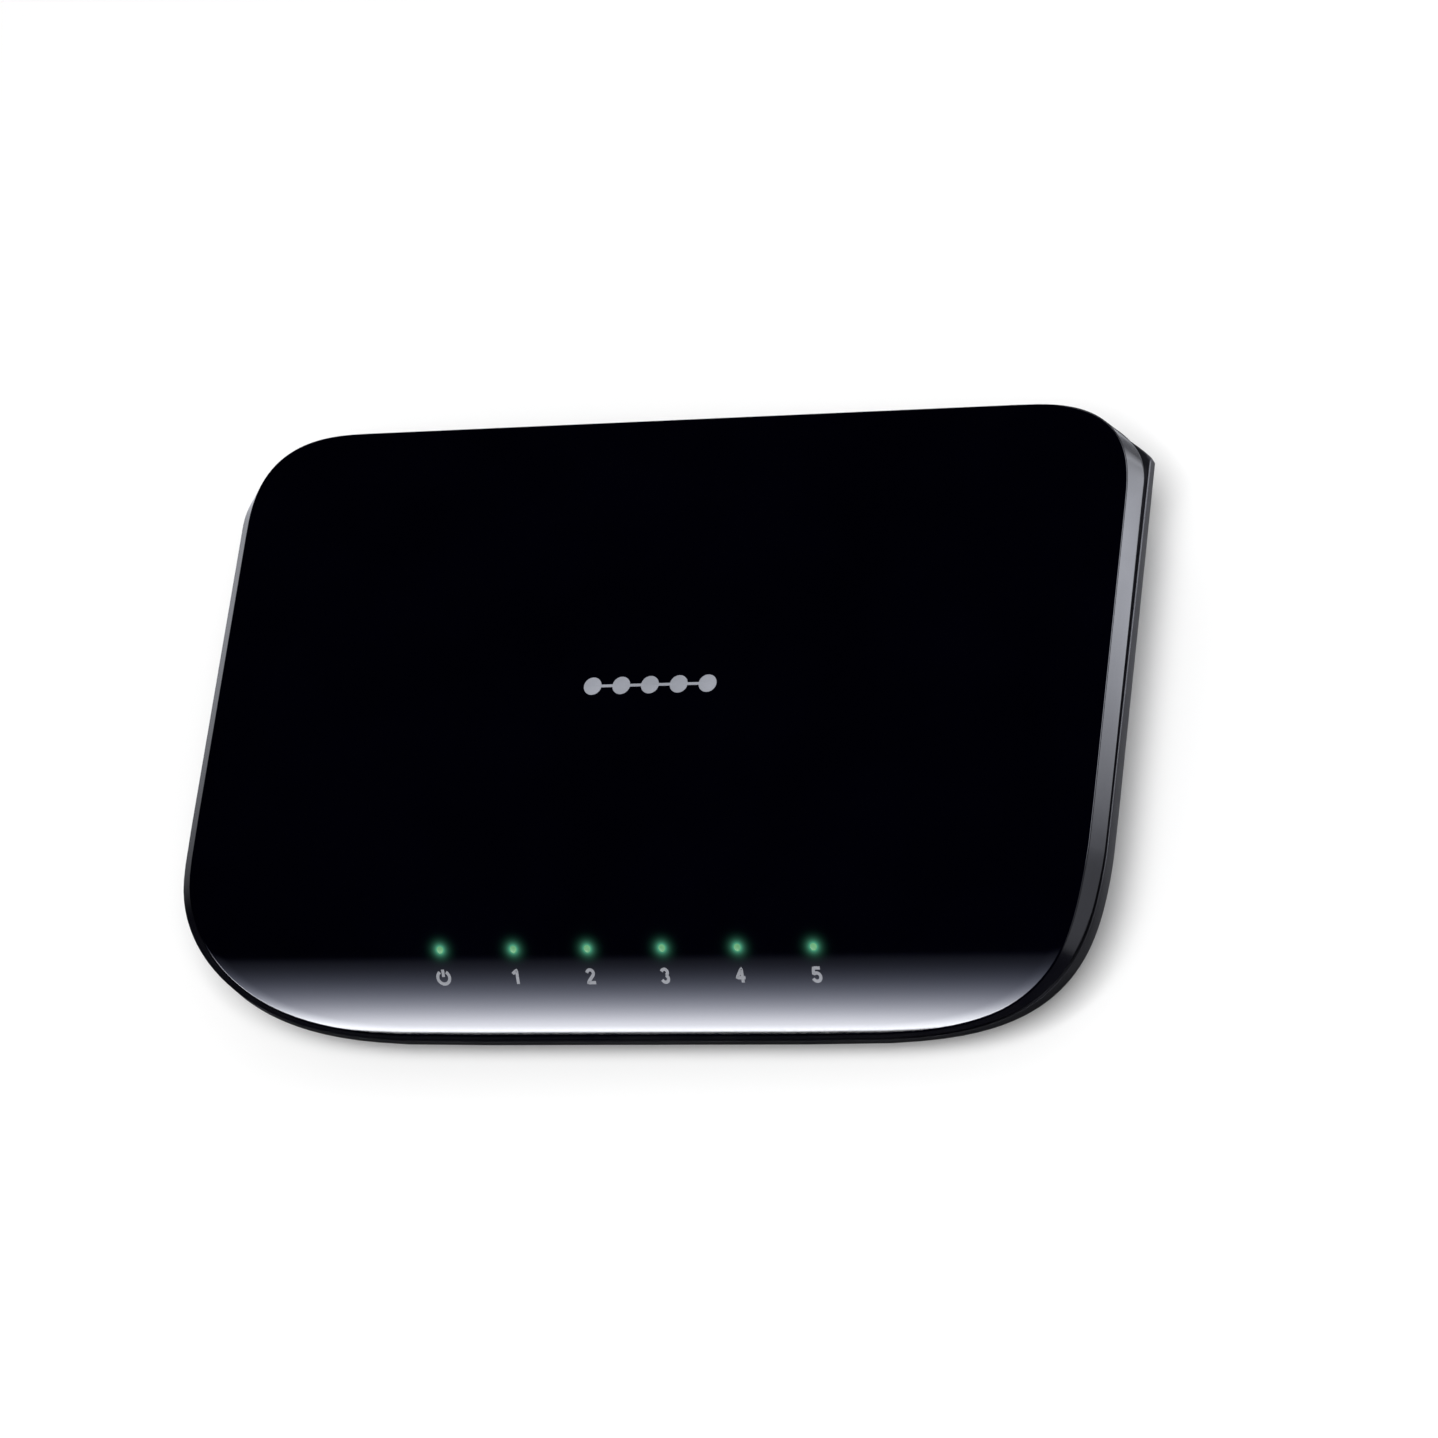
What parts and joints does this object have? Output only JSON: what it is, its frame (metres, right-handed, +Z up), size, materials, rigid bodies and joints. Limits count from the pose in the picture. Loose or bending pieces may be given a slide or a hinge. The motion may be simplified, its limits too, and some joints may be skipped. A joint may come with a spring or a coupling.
{
  "type": "desktop network switch",
  "caption": "Small desktop network switch: glossy black top falling at the front, silver edge trim, lights in front, sockets and power inlet behind.",
  "frame": {"origin": "middle of the footprint, on the surface the feet stand on", "axes": "+X along the width, -Y to the front with the lights, +Y to the back with the sockets, +Z up"},
  "size_m": [0.165, 0.108, 0.0281],
  "materials": {
    "gloss_black": "piano black, polished",
    "trim_silver": "satin silver grey",
    "case_grey": "fine moulded texture",
    "foot_rubber": "matt rubber",
    "screw_steel": "zinc plated",
    "label_film": "blank matt label",
    "board_green": "solder mask with tracks",
    "socket_black": "moulded",
    "contact_gold": "gold plated spring wire",
    "epoxy_black": "moulded epoxy",
    "plated_metal": "tin plated",
    "pad_grey": "soft silicone",
    "sink_aluminium": "black anodised",
    "can_sleeve": "printed shrink sleeve",
    "ferrite": "sintered ferrite",
    "chip_ceramic": "fired ceramic",
    "resistor_black": "glazed",
    "led_green": "lit green",
    "guide_clear": "clear moulding, lit green",
    "ink_grey": "printed ink",
    "badge_silver": "silver foil"
  },
  "bodies": {
    "case": {"top_cover": "gloss_black", "side_trim": "trim_silver", "lower_case": "case_grey", "case_screws": "screw_steel", "rating_label": "label_film", "circuit_board": "board_green", "board_screws": "screw_steel", "jack_block": "socket_black", "power_inlet_body": "socket_black", "power_inlet_pin": "plated_metal", "switch_chip": "epoxy_black", "chip_leads": "plated_metal", "thermal_pad": "pad_grey", "heat_sink": "sink_aluminium", "memory_chip": "epoxy_black", "crystal": "plated_metal", "filter_capacitor_1": "can_sleeve", "filter_capacitor_2": "can_sleeve", "power_inductor": "ferrite", "regulator_chip": "epoxy_black", "chip_capacitors": "chip_ceramic", "chip_resistors": "resistor_black", "status_leds": "led_green", "light_guide": "guide_clear", "front_marks": "ink_grey", "top_badge": "badge_silver", "rubber_foot_1": "foot_rubber", "rubber_foot_2": "foot_rubber", "rubber_foot_3": "foot_rubber", "rubber_foot_4": "foot_rubber", "line_transformer_1": "epoxy_black", "line_transformer_2": "epoxy_black", "line_transformer_3": "epoxy_black", "line_transformer_4": "epoxy_black", "line_transformer_5": "epoxy_black"},
    "port_1_wires": {"port_1_contacts": "contact_gold"},
    "port_2_wires": {"port_2_contacts": "contact_gold"},
    "port_3_wires": {"port_3_contacts": "contact_gold"},
    "port_4_wires": {"port_4_contacts": "contact_gold"},
    "port_5_wires": {"port_5_contacts": "contact_gold"},
    "inlet_leaf": {"power_inlet_leaf": "plated_metal"}
  },
  "joints": [
    {"name": "port_1_wires_flex", "type": "hinge", "parent": "case", "child": "port_1_wires", "pos_m": [-0.01394, 0.0505, 0.0202], "axis": [-1, 0, 0], "range_deg": [0, 14], "stiffness_Nm_per_rad": 0.3},
    {"name": "port_2_wires_flex", "type": "hinge", "parent": "case", "child": "port_2_wires", "pos_m": [0.00003, 0.0505, 0.0202], "axis": [-1, 0, 0], "range_deg": [0, 14], "stiffness_Nm_per_rad": 0.3},
    {"name": "port_3_wires_flex", "type": "hinge", "parent": "case", "child": "port_3_wires", "pos_m": [0.014, 0.0505, 0.0202], "axis": [-1, 0, 0], "range_deg": [0, 14], "stiffness_Nm_per_rad": 0.3},
    {"name": "port_4_wires_flex", "type": "hinge", "parent": "case", "child": "port_4_wires", "pos_m": [0.02797, 0.0505, 0.0202], "axis": [-1, 0, 0], "range_deg": [0, 14], "stiffness_Nm_per_rad": 0.3},
    {"name": "port_5_wires_flex", "type": "hinge", "parent": "case", "child": "port_5_wires", "pos_m": [0.04194, 0.0505, 0.0202], "axis": [-1, 0, 0], "range_deg": [0, 14], "stiffness_Nm_per_rad": 0.3},
    {"name": "inlet_leaf_flex", "type": "hinge", "parent": "case", "child": "inlet_leaf", "pos_m": [-0.05, 0.0442, 0.0182], "axis": [1, 0, 0], "range_deg": [0, 4], "stiffness_Nm_per_rad": 0.2}
  ]
}
